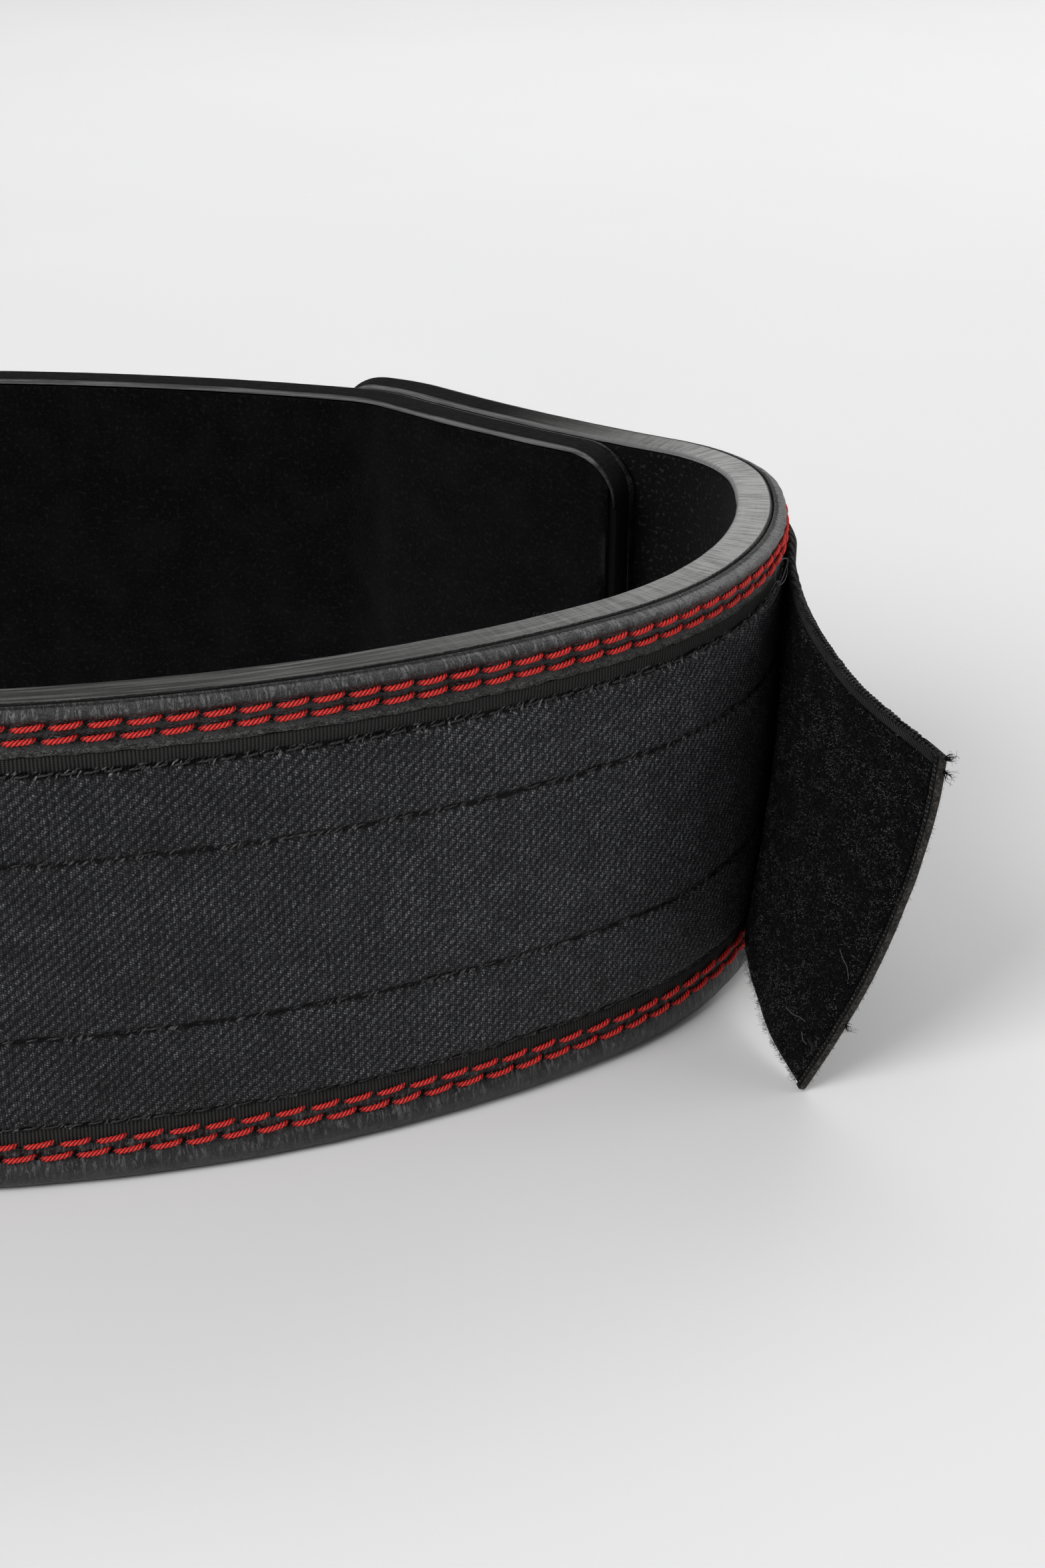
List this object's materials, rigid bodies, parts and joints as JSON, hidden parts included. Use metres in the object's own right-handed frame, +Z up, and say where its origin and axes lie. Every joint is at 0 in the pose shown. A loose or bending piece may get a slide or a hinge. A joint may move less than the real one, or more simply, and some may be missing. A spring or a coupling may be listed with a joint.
{
  "type": "weightlifting belt",
  "caption": "Thick leather weightlifting belt closed into a loop, with a hook tape on its outer face and its wide closing strap peeled off at one end",
  "frame": {"origin": "on the floor under the middle of the whole belt's box, free flap included", "axes": "+X to the free flap and along the loop's long way, -Y the near side with the hook tape, +Z up from the lower edge to the upper edge"},
  "size_m": [0.3942, 0.2274, 0.1016],
  "materials": {
    "painted_edge": "satin dark grey edge paint",
    "outer_leather": "soft fine-grained black",
    "suede": "matt black suede",
    "hook_fabric": "woven black hook tape",
    "strap_webbing": "plain woven black webbing",
    "loop_fabric": "black loop pile",
    "binding_fabric": "black twill binding"
  },
  "bodies": {
    "root": {"belt_core": "painted_edge", "leather_facing": "outer_leather", "suede_lining": "suede", "hook_tape": "hook_fabric", "strap_backing": "strap_webbing", "strap_loop_tape": "loop_fabric", "strap_end_binding": "binding_fabric"}
  },
  "joints": []
}
